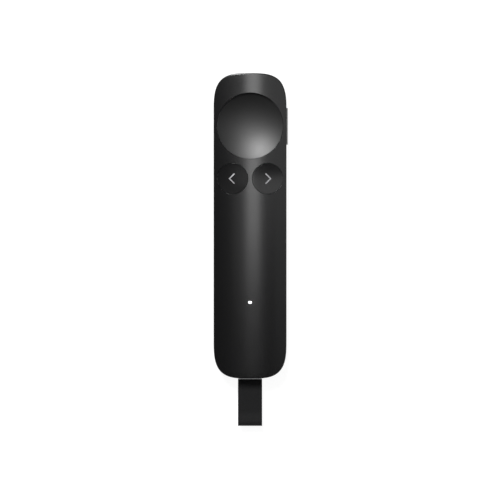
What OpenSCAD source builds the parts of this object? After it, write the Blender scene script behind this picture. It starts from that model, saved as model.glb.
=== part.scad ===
// Slim hand-held presentation clicker with a receiver that pulls out on a ribbon.
// It lies on its back. X is its width, Y its length towards the dished key, and Z
// comes up out of its front. The origin is the middle of the flat underside.
// All sizes are in millimetres.

/* [Body] */
// Length of the body, without the ribbon
body_l = 130; // [122:1:150]
// Width of the body
body_w = 31.1; // [30:0.1:35]
// Thickness at the middle of the front
body_h = 13; // [12.8:0.1:15]
// How far the front falls from its middle to its long sides
crown_drop = 1.8; // [1.2:0.1:2]
// Length over which each end rounds off
end_depth = 17; // [13:0.5:22]
// Squareness of the ends, where 2 is an ellipse
end_power = 3.4; // [2.8:0.1:5]
// Rounding between the front and the sides
front_edge_r = 0.4; // [0.4:0.1:1.4]
// Rounding between the underside and the sides
rear_edge_r = 4; // [2.5:0.1:4.3]
// Wall of both shells
wall = 1.2; // [1:0.05:1.35]
// Open seam between the two shells
seam_gap = 0.1; // [0.05:0.05:0.3]

/* [Dished key] */
// From the top end of the body to the middle of the dished key
action_from_end = 22.45; // [20:0.05:26]
// From the rim of the dished key's hole to the side of the body
action_margin = 1.4; // [1.4:0.05:2.5]
// Depth of the dish
action_depth = 2.2; // [1.6:0.1:2.4]
// Thickness of the dished cap
action_cap_t = 1.1; // [0.9:0.05:1.2]
// From the middle of the dished key to each of its guide posts
post_reach = 9.5; // [7:0.5:10]

/* [Small keys] */
// From the rim of a small key's hole to the side of the body
key_margin = 1.45; // [1.4:0.05:2.5]
// Between the holes of the two small keys
key_gap = 1.6; // [1.4:0.1:4]
// Between the dished key's hole and the line across the tops of the small keys' holes
key_action_gap = 1.65; // [1.6:0.05:5]
// How far the middle of a small key sinks below the crown
key_depth = 0.2; // [0.1:0.05:0.6]
// Angle between the arms of a chevron
chevron_angle = 90; // [80:5:110]
// Height of a chevron
chevron_h = 4.6; // [3:0.1:5.2]
// Width of a chevron's stroke
chevron_stroke = 0.5; // [0.4:0.05:0.9]

/* [Key action] */
// How far each key travels
key_travel = 0.3; // [0.2:0.05:0.35]
// Gap between a key and its hole
key_clearance = 0.15; // [0.1:0.01:0.2]
// Thickness of the keys' flanges
flange_t = 0.8; // [0.6:0.05:0.9]

/* [Side key] */
// Length of the side key
side_key_l = 15.7; // [12:0.1:20]
// Height of the side key
side_key_h = 2.7; // [2.2:0.1:2.8]
// How far the side key stands proud of the side
side_proud = 0.5; // [0.4:0.05:0.8]

/* [Light] */
// Length across the body of the small light
light_w = 1.6; // [1.3:0.1:2.4]
// Length along the body of the small light
light_h = 1.1; // [0.8:0.1:1.2]
// From the bottom end of the body to the light
light_from_end = 32.4; // [28:0.1:36]

/* [Receiver] */
// Width of the receiver and its ribbon
receiver_w = 10.3; // [10:0.1:12]
// Height of the receiver
receiver_h = 4.6; // [4.4:0.1:5]
// Length of the receiver without its plug
receiver_l = 15.45; // [14:0.05:18]
// How far the receiver stands proud of the bottom end
receiver_proud = 0.45; // [0.2:0.05:1]
// Width of the plug
plug_w = 8.25; // [8.2:0.01:8.3]
// Height of the plug
plug_h = 2.4; // [2.35:0.01:2.45]
// Length of the plug outside the receiver's housing
plug_l = 6.65; // [6:0.05:7]
// Gap between the receiver and its bay
bay_clearance = 0.1; // [0.05:0.01:0.2]

/* [Ribbon] */
// Length of the ribbon outside the body
ribbon_l = 20.5; // [14:0.1:40]
// Thickness of the doubled ribbon
ribbon_t = 1.2; // [0.8:0.1:1.6]
// Outer radius of the fold at the ribbon's end
fold_r = 1.5; // [1:0.1:2]
// Diameter of the pins that hold the ribbon
pin_d = 1; // [0.8:0.1:1.2]

/* [Inside] */
// Thickness of the main board
board_t = 0.8; // [0.6:0.1:0.9]
// Thickness of the frame's plate
frame_t = 1; // [0.9:0.1:1.1]
// Height of the key switches without their plungers
switch_h = 1; // [0.9:0.05:1.1]
// How far a plunger stands out of its switch
plunger_proud = 0.5; // [0.4:0.05:0.6]
// Between the battery's sides and the heads of the frame screws
battery_side_room = 0.9; // [0.6:0.1:3]
// Between the battery's window and the way for the motor's leads
battery_end_room = 4.1; // [2:0.1:12]
// Free height over the battery
battery_room = 0.8; // [0.6:0.1:1]
// Diameter of the vibration motor
motor_d = 8; // [6:0.5:10]
// Thickness of the vibration motor
motor_t = 2.7; // [2:0.1:2.8]
// Diameter of the frame screws
frame_screw_d = 1.6; // [1.4:0.1:1.8]
// Diameter of the board screws
board_screw_d = 1.4; // [1.2:0.1:1.5]

/* [Hidden] */
$fa = 3;
$fs = 0.35;
// Overlap that lets two forms of one piece join, or a cut run past a face
lap = 0.5;
// Gap between parts that sit together without moving
fit = 0.05;
// Gap between parts that only have to stay clear of each other
room = 0.2;
// Play around a screw's thread or a pin, over its diameter
thread_fit = 0.04;
// Straight stretch left between the two roundings of a pill's end
pill_flat = 0.02;

// Body form: the front is part of a wide cylinder that lies along the body
half_w = body_w / 2;
half_l = body_l / 2;
crown_r = (half_w * half_w + crown_drop * crown_drop) / (2 * crown_drop);
end_steps = 24;
edge_steps = 4;
crown_skim = 0.02;
function crown_z(x) = body_h - crown_r + sqrt(crown_r * crown_r - x * x);

// Points of one rounded end, worked out as a superellipse of half width a and depth b
function end_point(a, b, t) = [
    a * sign(cos(t)) * pow(abs(cos(t)), 2 / end_power),
    b * pow(abs(sin(t)), 2 / end_power)];
function end_points(inset) = [for (i = [0 : end_steps])
    end_point(half_w - inset, end_depth - inset, 180 * i / end_steps)];
// Closed outline of the body, moved in by an inset
function outline(inset) = let (c = half_l - end_depth, e = end_points(inset)) concat(
    [for (p = e) [p.x, c + p.y]],
    [for (p = e) [-p.x, -c - p.y]]);
function flat_ring(inset, z) = [for (p = outline(inset)) [p.x, p.y, z]];
function crown_ring(inset, drop) = [for (p = outline(inset)) [p.x, p.y, crown_z(p.x) - drop]];

// Heights, worked down from the front
inner_w = half_w - wall;
action_hole_r = half_w - action_margin;
action_r = action_hole_r - key_clearance;
flush = 0.05;
action_rim_z = crown_z(action_hole_r) - flush;
action_floor_z = action_rim_z - action_depth;
dish_r = (action_r * action_r + action_depth * action_depth) / (2 * action_depth);
dish_z = action_floor_z + dish_r;
nub_h = 0.2;
plunger_z = action_floor_z - action_cap_t - nub_h;
switch_top_z = plunger_z - plunger_proud;
board_top_z = switch_top_z - switch_h;
board_z = board_top_z - board_t;
frame_z = board_z - frame_t;
port_z = board_z + board_t / 2;

// Side key and seam
side_switch_h = 1.5;
side_slot_h = side_key_h + 2 * key_clearance;
side_key_z = board_top_z + side_switch_h / 2;
seam_margin = 0.8;
seam_z = side_key_z - side_slot_h / 2 - seam_margin;
lip_h = seam_margin - fit;
lip_t = 0.6;
lip_gap = 0.1;
lip_root = 1.2;
lip_in = wall + lip_gap + lip_t;

// Flanges of the front keys, just under the collars around their holes
key_base_z = side_key_z + side_key_h / 2 + key_travel + room;
collar_z = key_base_z + flange_t + fit;
collar_t = 1;
flange_reach = 0.7;
flange_side_gap = 0.1;
key_wall = 1.1;
key_roof_t = 1;
tab_w = 6.4;
nub_d = 2.6;

// Places along the body
action_y = half_l - action_from_end;
key_hole_r = (body_w - 2 * key_margin - key_gap) / 4;
key_r = key_hole_r - key_clearance;
key_x = key_gap / 2 + key_hole_r;
key_y = action_y - action_hole_r - key_action_gap - key_hole_r;
light_y = -half_l + light_from_end;
posts = [for (s = [-1, 1]) [0, action_y + s * post_reach]];
post_d = 1.6;
post_tip = 0.5;

// Receiver and charge port, all on the height of the board's middle
receiver_y0 = -half_l - receiver_proud;
receiver_y1 = receiver_y0 + receiver_l;
receiver_corner_r = 0.5;
cap_l = 5;
cap_y1 = receiver_y0 + cap_l;
cap_spigot = 0.9;
housing_wall = 0.7;
housing_end_t = 0.8;
plug_y1 = receiver_y1 + plug_l;
plug_t = 0.3;
plug_tail = 2.4;
port_mouth_y = receiver_y1 + fit;
port_gap_w = 0.09;
port_gap_h = 0.16;
port_t = 0.3;
port_w = plug_w + port_gap_w + 2 * port_t;
port_h = plug_h + port_gap_h + 2 * port_t;
port_back_gap = 0.75;
port_back_y = plug_y1 + port_back_gap;
port_board_lap = 1.9;
port_foot_w = 1.3;
port_foot_l = 1;
tongue_w = 6.7;
tongue_t = 0.7;
tongue_inset = 0.7;
bay_w = receiver_w + 2 * bay_clearance;
bay_h = receiver_h + 2 * bay_clearance;
bay_wall = 1;
bay_from_lip = 0.6;
bay_y0 = -half_l + lip_in + bay_from_lip;
bay_y1 = port_mouth_y - room;
receiver_board_t = 0.6;
receiver_chip_w = 4;

// Ribbon: it is held in the cap and bends about a line just outside its mouth
ribbon_root_l = 3.75;
ribbon_hinge_y = receiver_y0 - ribbon_t / 2 - fit;
ribbon_end_y = -half_l - ribbon_l;
ribbon_split_y = ribbon_end_y + 4 * fold_r;
ribbon_slot = ribbon_t + 2 * fit;
fold_tip_r = 0.03;
pin_x = 3;
pin_inset = 2;
pin_y = receiver_y0 + pin_inset;

// Frame, boards and their screws
frame_from_lip = 0.25;
frame_inset = lip_in + frame_from_lip;
board_from_frame = 1;
board_inset = frame_inset + board_from_frame;
board_y0 = port_mouth_y + port_board_lap;
boss_d = 3.4;
boss_margin = 1.25;
boss_end_margin = 1.8;
boss_x = inner_w - boss_d / 2 - boss_margin;
frame_screw_l = 3.2;
frame_head_d = 3;
head_h = 0.8;
boss_from_key = 7.4;
boss_from_port = 2.6;
boss_y = [key_y - key_hole_r - boss_from_key, port_back_y + boss_from_port];
frame_screws = concat(
    [for (s = [-1, 1], y = boss_y) [s * boss_x, y]],
    [[0, half_l - wall - boss_d / 2 - boss_end_margin]]);
board_boss_d = 2.6;
board_boss_h = 1.5;
board_head_h = 0.6;

// Motor and battery, with their leads, under the frame
motor_y = key_y;
motor_pad_t = 0.15;
motor_pad_inset = 0.5;
motor_z = wall + motor_pad_t;
motor_ring_t = 0.8;
motor_ring_h = 1.6;
wire_d = 0.8;
wire_x = 0.6;
motor_lead_l = 3.4;
lead_slot_w = 3;
lead_slot_l = motor_lead_l + wire_d / 2 + room;
tape_t = 0.2;
tape_inset = 2;
battery_gap = 0.3;
battery_w = 2 * (boss_x - frame_head_d / 2 - battery_side_room);
battery_z = wall + tape_t;
battery_t = board_z - battery_room - battery_z;
battery_from_port = 2.1;
battery_y0 = port_back_y + battery_from_port;
window_y1 = motor_y - motor_d / 2 - lead_slot_l - battery_end_room;
socket_w = 5.2;
socket_l = 3.6;
socket_h = 1.4;
socket_room = 1.4;
socket_y = window_y1 - socket_room - socket_l;
lead_l = 5.5;
battery_y1 = socket_y - lead_l;
battery_l = battery_y1 - battery_y0;
rail_t = 0.8;
rail_h = 1.6;
rail_inset = 4;

// Board screws, just outside the battery's window in the frame
board_screw_x = battery_w / 2 + battery_gap + board_boss_d / 2;
board_screw_from_key = 2.8;
board_screw_from_light = 8.6;
board_screw_y = [key_y + key_hole_r + board_screw_from_key, light_y + board_screw_from_light];
board_screws = [for (s = [-1, 1], y = board_screw_y) [s * board_screw_x, y]];

// Switches and chips on the board
switch_w = 3.6;
switch_l = 3;
switch_floor_t = 0.15;
plunger_d = 1.7;
plunger_fit = 0.1;
side_switch_w = 3.5;
side_switch_t = 1.7;
side_flange_gap = 0.15;
side_flange_l = 1.2;
side_flange_x = inner_w - side_flange_gap - flange_t;
side_plunger_x = side_flange_x - nub_h;
side_switch_x = side_plunger_x - plunger_proud;
side_plunger_d = 1.1;
side_plunger_in = 0.6;
light_flange = 0.8;
light_flange_t = 0.6;
led_w = 1.6;
led_l = 0.8;
led_h = 0.6;
chip_t = 0.8;
radio_from_light = 24.6;
radio_y = light_y + radio_from_light;
radio_w = 5;
shield_w = 12;
shield_h = 1.6;
shield_t = 0.2;
sensor_from_shield = 3.2;
sensor_x = shield_w / 2 + sensor_from_shield;
sensor_w = 3;
antenna_w = 7;
antenna_l = 2.2;
antenna_from_side = 5.55;
antenna_x = antenna_from_side + antenna_w / 2 - half_w;
antenna_from_post = 2;
antenna_y = action_y + post_reach + antenna_from_post;

// Snap ridges on the rear shell's lip, and the pockets in the front that they click into
snap_l = 5;
snap_h = 0.3;
snap_proud = 0.25;
snap_pitch = 32;
snap_y = [for (k = [-1, 0, 1]) key_y - snap_pitch + k * snap_pitch];
snap_z = seam_z + lip_h / 2 + fit;
snap_x0 = inner_w - lip_gap - lip_t / 2;
snap_x1 = inner_w - lip_gap + snap_proud;

// Tops of the small keys, and the chevrons set into them
key_steps = 72;
key_rings = 8;
key_eye_r = 0.1;
key_roof_z = crown_z(key_x + key_r - key_wall) - key_roof_t;
chevron_arm_l = chevron_h / 2 / sin(chevron_angle / 2);
chevron_w = chevron_arm_l * cos(chevron_angle / 2) + chevron_stroke * sin(chevron_angle / 2);
chevron_t = 0.4;
chevron_shift = 0.35;
chevron_z = crown_z(key_x + chevron_shift + chevron_w / 2) - flush - key_depth - chevron_t;

PLASTIC = "#1d1d1f";
KEYS = "#232325";
CHASSIS = "#3a3b3f";
BOARD = "#1f5a3a";
STEEL = "#b9bcc0";
CHIP = "#26272b";
GOLD = "#c9a54a";

// ---- Shared forms ----

// Closed solid through a stack of rings that all have the same number of points
module loft(rings) {
    n = len(rings[0]);
    m = len(rings);
    base = [for (i = [0 : n - 1]) i];
    roof = [for (i = [n - 1 : -1 : 0]) (m - 1) * n + i];
    sides = [for (k = [0 : m - 2], i = [0 : n - 1]) let (j = (i + 1) % n)
        each [[k * n + i, k * n + n + i, k * n + n + j], [k * n + i, k * n + n + j, k * n + j]]];
    polyhedron(points = [for (r = rings) each r], faces = concat([base], [roof], sides));
}

// Slab in the shape of the body's outline
module slab(inset, z0, z1)
    translate([0, 0, z0])
        linear_extrude(z1 - z0)
            polygon(outline(inset));

// Wide cylinder whose top is the front, less a given depth
module crown(depth)
    translate([0, 0, body_h - crown_r])
        rotate([90, 0, 0])
            cylinder(r = crown_r - depth, h = 2 * body_l, center = true, $fn = 180);

// Extrusions of a flat shape along the body and across it
module along_y(y0, y1)
    translate([0, y1, 0])
        rotate([90, 0, 0])
            linear_extrude(y1 - y0)
                children();

module along_x(x0, x1)
    translate([x0, 0, 0])
        rotate([90, 0, 90])
            linear_extrude(x1 - x0)
                children();

// Upright round rod between two heights
module rod(d, z0, z1)
    translate([0, 0, z0])
        cylinder(d = d, h = z1 - z0);

// Block by its middle in X and Y, and its two heights
module block(x, y, w, l, z0, z1)
    translate([x - w / 2, y - l / 2, z0])
        cube([w, l, z1 - z0]);

module rounded(w, h, r)
    hull()
        for (sx = [-1, 1], sy = [-1, 1])
            translate([sx * (w / 2 - r), sy * (h / 2 - r)])
                circle(r, $fn = 24);

// Flat shape with straight long sides and round ends
module pill(w, h)
    rounded(w, h, (h - pill_flat) / 2);

module screw(d, head_d, head_t, length)
    difference() {
        union() {
            rod(d, -lap / 2, length);
            rod(head_d, -head_t, 0);
        }
        for (a = [0, 90])
            rotate([0, 0, a])
                block(0, 0, d, d / 5, -head_t - lap, -head_t / 2);
    }

// Wire that leaves along Y and turns smoothly to another height
module wire(x, y0, z0, y1, z1) {
    steps = 8;
    sides = 8;
    function at(u) = [x, y0 + (y1 - y0) * u, z0 + (z1 - z0) * u * u * (3 - 2 * u)];
    function lean(u) = atan2((z1 - z0) * 6 * u * (1 - u), y1 - y0);
    loft([for (i = [0 : steps]) let (u = i / steps, c = at(u), a = lean(u))
        [for (k = [0 : sides - 1]) let (b = 360 * k / sides, r = wire_d / 2)
            c + r * [cos(b), -sin(b) * sin(a), sin(b) * cos(a)]]]);
}

// ---- Shells ----

module front_blank() {
    skirt = flat_ring(0, seam_z + seam_gap / 2);
    edge = [for (k = [0 : edge_steps - 1]) let (a = 90 * k / edge_steps)
        crown_ring(front_edge_r * (1 - cos(a)), front_edge_r * (1 - sin(a)))];
    // The last ring stops just short of the crown, which then cuts the top
    top = crown_ring(front_edge_r, crown_skim);
    above = flat_ring(front_edge_r, body_h + lap);
    intersection() {
        loft(concat([skirt], edge, [top], [above]));
        crown(0);
    }
}

module collars() {
    translate([0, action_y])
        rod(2 * (action_hole_r + collar_t), collar_z, body_h);
    for (s = [-1, 1])
        translate([s * key_x, key_y])
            rod(2 * (key_hole_r + collar_t), collar_z, body_h);
}

module bosses()
    for (p = frame_screws)
        translate(p)
            rod(boss_d, board_z, body_h);

module front_holes() {
    hole_z = key_base_z - key_travel - room;
    translate([0, action_y])
        rod(2 * action_hole_r, hole_z, body_h + lap);
    for (s = [-1, 1])
        translate([s * key_x, key_y])
            rod(2 * key_hole_r, hole_z, body_h + lap);
    for (p = frame_screws)
        translate(p)
            rod(frame_screw_d + thread_fit, board_z - lap, board_z + frame_screw_l + 2 * room);
    translate([0, light_y, body_h - wall - lap])
        linear_extrude(wall + 2 * lap)
            pill(light_w + 2 * fit, light_h + 2 * fit);
}

module snap_pockets()
    for (s = [-1, 1], y = snap_y)
        block(s * (inner_w - fit + snap_x1 + room) / 2, y, snap_x1 + room - inner_w + fit,
            snap_l + 2 * room, snap_z - snap_h / 2 - room / 2, snap_z + snap_h / 2 + room / 2);

module side_slot()
    translate([0, action_y, side_key_z])
        along_x(inner_w - lap, half_w + lap)
            rounded(side_key_l + 2 * key_clearance, side_slot_h, side_slot_h / 3);

module bay_mouth()
    translate([0, 0, port_z])
        along_y(-half_l - lap, bay_y0)
            square([bay_w, bay_h], center = true);

module front_shell() color(PLASTIC) difference() {
    union() {
        difference() {
            front_blank();
            intersection() {
                slab(wall, 0, body_h);
                crown(wall);
            }
        }
        intersection() {
            union() {
                collars();
                bosses();
            }
            slab(wall / 2, 0, body_h);
            crown(wall / 2);
        }
    }
    front_holes();
    side_slot();
    bay_mouth();
    snap_pockets();
}

// Shallow tray with one rounding all round its base
module tray(depth, top_z) {
    r = rear_edge_r - depth;
    edge = [for (k = [0 : edge_steps]) let (a = 90 * k / edge_steps)
        flat_ring(depth + r * (1 - sin(a)), depth + r * (1 - cos(a)))];
    loft(concat(edge, [flat_ring(depth, top_z)]));
}

module rear_lip() {
    difference() {
        union() {
            slab(wall / 2, seam_z - lip_root, seam_z - seam_gap / 2 - fit);
            slab(wall + lip_gap, seam_z - lip_root, seam_z + lip_h);
        }
        slab(lip_in, 0, body_h);
    }
    for (s = [-1, 1], y = snap_y)
        block(s * (snap_x0 + snap_x1) / 2, y, snap_x1 - snap_x0, snap_l,
            snap_z - snap_h / 2, snap_z + snap_h / 2);
}

module battery_rails()
    for (s = [-1, 1])
        block(s * (battery_w / 2 + battery_gap + rail_t / 2), battery_y0 + battery_l / 2,
            rail_t, battery_l - 2 * rail_inset, wall - room, wall + rail_h);

module rear_shell() color(PLASTIC) difference() {
    union() {
        difference() {
            tray(0, seam_z - seam_gap / 2);
            tray(wall, body_h);
        }
        rear_lip();
        battery_rails();
        translate([0, motor_y])
            rod(motor_d + 2 * fit + 2 * motor_ring_t, wall - room, wall + motor_ring_h);
    }
    translate([0, motor_y])
        rod(motor_d + 2 * fit, wall, wall + 2 * motor_ring_h);
    bay_mouth();
}

// ---- Frame and board ----

module mid_frame() color(CHASSIS) difference() {
    union() {
        slab(frame_inset, frame_z, board_z);
        translate([0, 0, port_z])
            along_y(bay_y0, bay_y1)
                square([bay_w + 2 * bay_wall, bay_h + 2 * bay_wall], center = true);
        for (p = board_screws)
            translate(p)
                rod(board_boss_d, frame_z - board_boss_h, frame_z + frame_t / 2);
    }
    translate([0, 0, port_z])
        along_y(bay_y0 - lap, bay_y1 + lap)
            square([bay_w, bay_h], center = true);
    // Window for the battery, its socket and the back of the charge port
    translate([0, 0, frame_z - lap])
        linear_extrude(frame_t + 2 * lap) {
            translate([-port_w / 2 - battery_gap, bay_y1])
                square([port_w + 2 * battery_gap, battery_y0 - bay_y1]);
            translate([-battery_w / 2 - battery_gap, battery_y0 - battery_gap])
                square([battery_w + 2 * battery_gap, window_y1 - battery_y0 + battery_gap]);
        }
    // Way for the motor's leads
    block(0, motor_y - motor_d / 2 - lead_slot_l / 2, lead_slot_w, lead_slot_l,
        frame_z - lap, board_z + lap);
    for (p = posts)
        translate(p)
            rod(post_d + 4 * room, frame_z - lap, board_z + lap);
    for (p = frame_screws)
        translate(p)
            rod(frame_screw_d + room, frame_z - lap, board_z + lap);
    for (p = board_screws)
        translate(p)
            rod(board_screw_d + thread_fit, frame_z - board_boss_h - lap, board_z + lap);
}

module main_board() color(BOARD) difference() {
    translate([0, 0, board_z])
        linear_extrude(board_t)
            difference() {
                intersection() {
                    polygon(outline(board_inset));
                    translate([-half_w, board_y0])
                        square([body_w, body_l]);
                }
                translate([-port_w / 2 - fit, board_y0 - lap])
                    square([port_w + 2 * fit, port_back_y + room - board_y0 + lap]);
            }
    for (p = frame_screws)
        translate(p)
            rod(boss_d + 4 * room, board_z - lap, board_top_z + lap);
    for (p = posts)
        translate(p)
            rod(post_d + room, board_z - lap, board_top_z + lap);
    for (p = board_screws)
        translate(p)
            rod(board_screw_d + room, board_z - lap, board_top_z + lap);
}

module frame_screws() color(STEEL)
    for (p = frame_screws)
        translate([p.x, p.y, frame_z])
            screw(frame_screw_d, frame_head_d, head_h, frame_t + frame_screw_l);

module board_screws() color(STEEL)
    for (p = board_screws)
        translate([p.x, p.y, board_top_z])
            mirror([0, 0, 1])
                screw(board_screw_d, board_boss_d, board_head_h,
                    board_t + frame_t + board_boss_h - room);

// ---- Keys ----

module action_button() color(KEYS) difference() {
    translate([0, action_y]) {
        intersection() {
            rod(2 * action_r, plunger_z, action_rim_z);
            translate([0, 0, dish_z])
                sphere(r = dish_r + action_cap_t, $fn = 160);
        }
        difference() {
            rod(2 * action_r, key_base_z, action_rim_z);
            rod(2 * (action_r - key_wall), key_base_z - lap, action_rim_z + lap);
        }
        // Tabs that stop the key under its collar
        difference() {
            intersection() {
                rod(2 * (action_hole_r + flange_reach), key_base_z, key_base_z + flange_t);
                block(0, 0, tab_w, 4 * action_r, key_base_z - lap, action_rim_z);
            }
            rod(2 * (action_r - key_wall), key_base_z - lap, action_rim_z);
        }
        rod(nub_d, plunger_z, action_floor_z - action_cap_t / 2);
        // Guide posts
        for (s = [-1, 1])
            translate([0, s * post_reach])
                rod(post_d, board_z - post_tip, dish_under_z(post_reach) + action_cap_t / 2);
    }
    translate([0, action_y, dish_z])
        sphere(r = dish_r, $fn = 160);
}
function dish_under_z(r) = dish_z - sqrt(pow(dish_r + action_cap_t, 2) - r * r);

// Round part of a small key: its rim follows the crown, and its top sinks to the middle
function key_sink(r) = flush + key_depth * (1 - pow(r / key_r, 2));
function key_ring(s, r) = [for (k = [0 : key_steps - 1]) let (
    a = 360 * k / key_steps,
    x = s * key_x + r * cos(a))
    [x, key_y + r * sin(a), crown_z(x) - key_sink(r)]];
module key_cap(s) {
    rim = key_ring(s, key_r);
    base = [for (p = rim) [p.x, p.y, key_base_z]];
    inner = [for (k = [key_rings - 1 : -1 : 1]) key_ring(s, key_r * k / key_rings)];
    loft(concat([base, rim], inner, [key_ring(s, key_eye_r)]));
}

// Chevron that points away from the middle of the body, with its arms cut off square
module chevron_shape(s, grow) {
    slope = chevron_angle / 2;
    along = (chevron_arm_l + grow) * [-cos(slope), sin(slope)];
    across = [sin(slope), cos(slope)];
    tip = [chevron_w / 2, 0];
    outer = tip + along + grow * across;
    inner = tip + along - (chevron_stroke + grow) * across;
    front = tip + [grow / sin(slope), 0];
    back = tip - [(chevron_stroke + grow) / sin(slope), 0];
    translate([s * (key_x + chevron_shift), key_y])
        polygon([for (p = [front, outer, inner, back, [inner.x, -inner.y], [outer.x, -outer.y]])
            [s * p.x, p.y]]);
}

module small_key(s) color(KEYS) {
    difference() {
        union() {
            key_cap(s);
            intersection() {
                translate([s * key_x, key_y])
                    rod(2 * (key_hole_r + flange_reach), key_base_z, key_base_z + flange_t);
                block(s * inner_w / 2, key_y, inner_w - 2 * flange_side_gap, 4 * key_r,
                    key_base_z - lap, body_h);
            }
        }
        translate([s * key_x, key_y])
            rod(2 * (key_r - key_wall), key_base_z - lap, key_roof_z);
        translate([0, 0, chevron_z])
            linear_extrude(body_h)
                chevron_shape(s, thread_fit / 2);
    }
    translate([s * key_x, key_y])
        rod(nub_d, plunger_z, key_roof_z + key_roof_t / 2);
}

module chevron(s) color("#b4b6b9") intersection() {
    translate([0, 0, chevron_z])
        linear_extrude(body_h)
            chevron_shape(s, 0);
    key_cap(s);
}

module back_button() small_key(-1);
module next_button() small_key(1);
module back_chevron() chevron(-1);
module next_chevron() chevron(1);

module side_button() color(KEYS) translate([0, action_y, side_key_z]) {
    along_x(side_flange_x, half_w + side_proud)
        rounded(side_key_l, side_key_h, side_key_h / 3);
    along_x(side_flange_x, side_flange_x + flange_t)
        rounded(side_key_l + 2 * side_flange_l, side_key_h, side_key_h / 3);
    translate([side_plunger_x, 0, 0])
        rotate([0, 90, 0])
            cylinder(d = side_plunger_d, h = nub_h + flange_t / 2);
}

// ---- Switches ----

module key_switch(x, y) color(STEEL) difference() {
    block(x, y, switch_w, switch_l, board_top_z, switch_top_z);
    translate([x, y])
        rod(plunger_d + plunger_fit, board_top_z + switch_floor_t, switch_top_z + lap);
}

module key_plunger(x, y) color("#d8d2c4")
    translate([x, y])
        rod(plunger_d, board_top_z + switch_floor_t + plunger_fit + key_travel, plunger_z);

module action_switch() key_switch(0, action_y);
module back_switch() key_switch(-key_x, key_y);
module next_switch() key_switch(key_x, key_y);
module action_plunger() key_plunger(0, action_y);
module back_plunger() key_plunger(-key_x, key_y);
module next_plunger() key_plunger(key_x, key_y);

module side_switch() color(STEEL) difference() {
    block(side_switch_x - side_switch_t / 2, action_y, side_switch_t, side_switch_w,
        board_top_z, board_top_z + side_switch_h);
    translate([side_switch_x - side_plunger_in - key_travel - room, action_y, side_key_z])
        rotate([0, 90, 0])
            cylinder(d = side_plunger_d + plunger_fit, h = side_switch_t);
}

module side_plunger() color("#d8d2c4")
    translate([side_switch_x - side_plunger_in, action_y, side_key_z])
        rotate([0, 90, 0])
            cylinder(d = side_plunger_d, h = side_plunger_x - side_switch_x + side_plunger_in);

// ---- Light, chips, battery and motor ----

module light_pipe() color("white") translate([0, light_y]) {
    intersection() {
        translate([0, 0, board_top_z + led_h + room])
            linear_extrude(body_h)
                pill(light_w, light_h);
        translate([0, -light_y, 0])
            crown(flush / 2);
    }
    translate([0, 0, body_h - wall - 2 * fit - light_flange_t])
        linear_extrude(light_flange_t)
            rounded(light_w + 2 * light_flange, light_h + 2 * light_flange, light_h / 2);
}

module led_chip() color("#e8e4c8")
    block(0, light_y, led_w, led_l, board_top_z, board_top_z + led_h);

module radio_chip() color(CHIP)
    block(0, radio_y, radio_w, radio_w, board_top_z, board_top_z + chip_t);

module radio_shield() color(STEEL) difference() {
    block(0, radio_y, shield_w, shield_w, board_top_z, board_top_z + shield_h);
    block(0, radio_y, shield_w - 2 * shield_t, shield_w - 2 * shield_t,
        board_top_z - lap, board_top_z + shield_h - shield_t);
}

module motion_sensor() color(CHIP)
    block(sensor_x, radio_y, sensor_w, sensor_w, board_top_z, board_top_z + chip_t);

module chip_antenna() color("#e9e6dd")
    block(antenna_x, antenna_y, antenna_w, antenna_l, board_top_z, board_top_z + chip_t);

module battery_cell() color("#c4c7cb")
    block(0, battery_y0 + battery_l / 2, battery_w, battery_l, battery_z, battery_z + battery_t);

module battery_tape() color("#e6dcb0")
    block(0, battery_y0 + battery_l / 2, battery_w - 2 * tape_inset, battery_l - 2 * tape_inset,
        wall, battery_z);

module battery_socket() color("#e9e6dd")
    block(0, socket_y + socket_l / 2, socket_w, socket_l, board_z - socket_h, board_z);

module battery_leads() color("#a02020")
    for (x = [-wire_x, wire_x])
        wire(x, battery_y1, battery_z + battery_t / 2, socket_y, board_z - socket_h / 2);

module motor_pad() color("#4a4a4a")
    translate([0, motor_y])
        rod(motor_d - 2 * motor_pad_inset, wall, motor_z);

module motor() color(STEEL)
    translate([0, motor_y])
        rod(motor_d, motor_z, motor_z + motor_t);

// The leads turn up from the motor's rim, over its ring, to the underside of the board
module motor_leads() color("#2a4a90") {
    lead_z = motor_z + motor_t - wire_d / 2 - fit;
    rim_y = motor_y - motor_d / 2;
    for (x = [-wire_x, wire_x])
        translate([x, 0, 0])
            mirror([0, 1, 0])
                wire(0, -rim_y + 2 * fit, lead_z, motor_lead_l - rim_y, board_z - wire_d / 2 - fit);
}

// ---- Charge port ----

module charge_port_shell() color(STEEL) {
    translate([0, 0, port_z])
        difference() {
            along_y(port_mouth_y, port_back_y)
                pill(port_w, port_h);
            along_y(port_mouth_y - lap, port_back_y - port_t)
                pill(port_w - 2 * port_t, port_h - 2 * port_t);
        }
    // Feet soldered to the top of the board
    for (s = [-1, 1], y = [board_y0 + port_foot_l, port_back_y - port_foot_l])
        block(s * (port_w - port_t + port_foot_w) / 2, y, port_foot_w, port_foot_l,
            board_top_z, board_top_z + port_t);
}

module charge_port_tongue() color(CHIP) translate([0, 0, port_z]) {
    along_y(receiver_y1 + tongue_inset, port_back_y - port_t)
        square([tongue_w, tongue_t], center = true);
    along_y(port_back_y - 2 * port_t, port_back_y - port_t)
        pill(port_w - 2 * port_t - 2 * fit, port_h - 2 * port_t - 2 * fit);
}

// ---- Receiver ----

module receiver_housing() color(PLASTIC) translate([0, 0, port_z]) difference() {
    along_y(cap_y1, receiver_y1)
        rounded(receiver_w, receiver_h, receiver_corner_r);
    along_y(cap_y1 - lap, receiver_y1 - housing_end_t)
        square([receiver_w - 2 * housing_wall, receiver_h - 2 * housing_wall], center = true);
    along_y(receiver_y1 - housing_end_t - lap, receiver_y1 + lap)
        pill(plug_w + 2 * fit, plug_h + 2 * fit);
}

module pin_holes(d)
    for (s = [-1, 1])
        translate([s * pin_x, pin_y, port_z])
            cylinder(d = d, h = 2 * receiver_h, center = true);

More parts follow.
